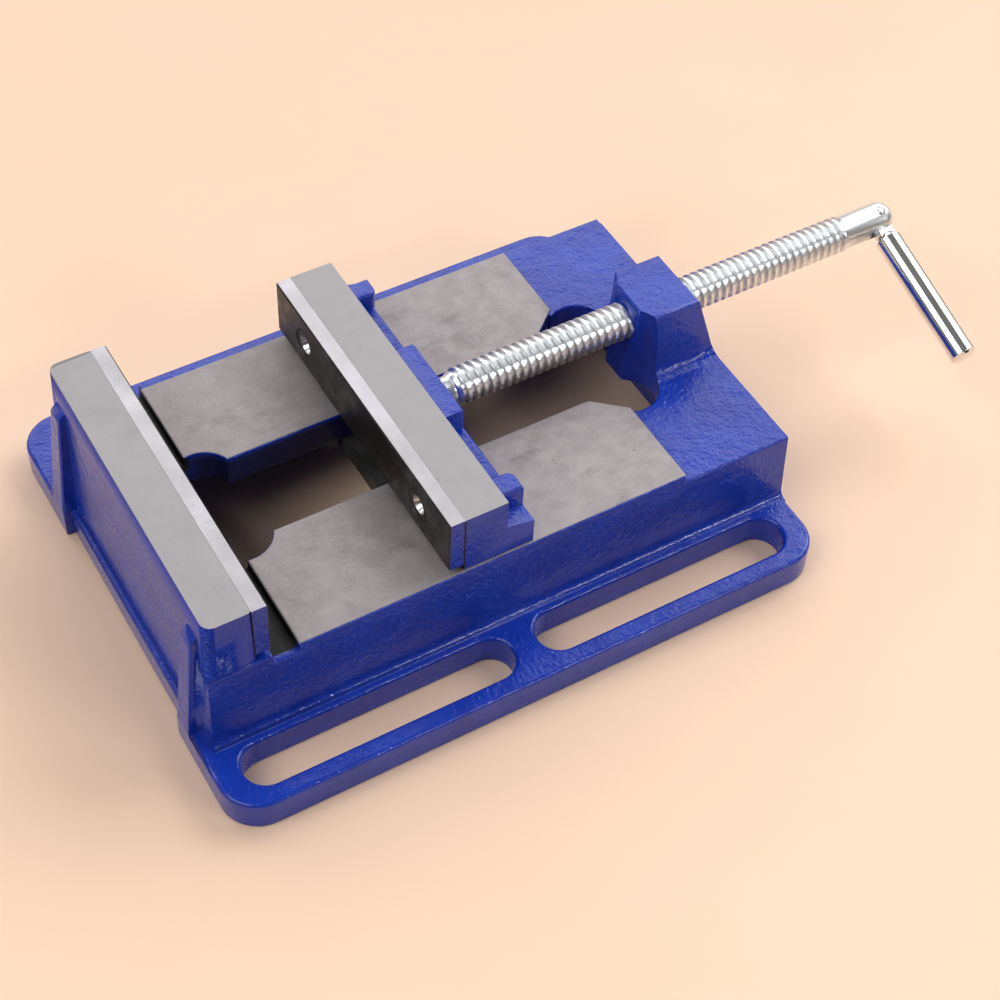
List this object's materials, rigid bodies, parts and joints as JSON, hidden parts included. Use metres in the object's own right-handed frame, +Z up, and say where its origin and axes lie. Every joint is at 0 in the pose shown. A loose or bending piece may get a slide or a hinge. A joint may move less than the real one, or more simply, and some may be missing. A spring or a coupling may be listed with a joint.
{
  "type": "machine vise",
  "caption": "Drill-press vise with a slotted cast base, machined ways, a fixed jaw, a screw-driven sliding jaw with steel jaw plates and a folding crank handle.",
  "frame": {"origin": "centre of the four flange slots, on the underside of the base", "axes": "+X along the lead screw from the fixed jaw to the handle, +Z up, away from the machine table"},
  "size_m": [0.2535, 0.15, 0.056],
  "materials": {
    "blue_paint": "gloss royal blue enamel over cast iron, with the ways and the jaw tops machined bare",
    "jaw_steel": "ground steel",
    "bright_steel": "bright turned steel",
    "black_oxide": "oiled black oxide",
    "zinc_plate": "bright zinc plate",
    "chrome_plate": "polished chrome plate"
  },
  "bodies": {
    "base": {"vise_base": "blue_paint", "fixed_jaw_plate": "jaw_steel", "fixed_plate_screw_1": "bright_steel", "fixed_plate_screw_2": "bright_steel"},
    "carriage": {"moving_jaw": "blue_paint", "moving_jaw_plate": "jaw_steel", "moving_plate_screw_1": "bright_steel", "moving_plate_screw_2": "bright_steel", "keeper_plate": "black_oxide", "keeper_bolt_1": "black_oxide", "keeper_bolt_2": "black_oxide", "keeper_washer_1": "black_oxide", "keeper_washer_2": "black_oxide", "retaining_pin_1": "bright_steel", "retaining_pin_2": "bright_steel"},
    "screw": {"lead_screw": "zinc_plate", "handle_pin": "zinc_plate"},
    "handle": {"handle_rod": "chrome_plate"}
  },
  "joints": [
    {"name": "jaw_slide", "type": "slide", "parent": "base", "child": "carriage", "axis": [1, 0, 0], "range_m": [-0.0507, 0.0475]},
    {"name": "screw_turn", "type": "hinge", "parent": "carriage", "child": "screw", "pos_m": [0, 0, 0.0456], "axis": [1, 0, 0], "range_deg": [-7305.8, 6845]},
    {"name": "handle_fold", "type": "hinge", "parent": "screw", "child": "handle", "pos_m": [0.1572, 0, 0.0456], "axis": [0, -0.3007, 0.9537], "range_deg": [0, 180]}
  ],
  "couplings": [
    {"joint": "screw_turn", "follows": "jaw_slide", "rad_per_m": 2513.3}
  ]
}
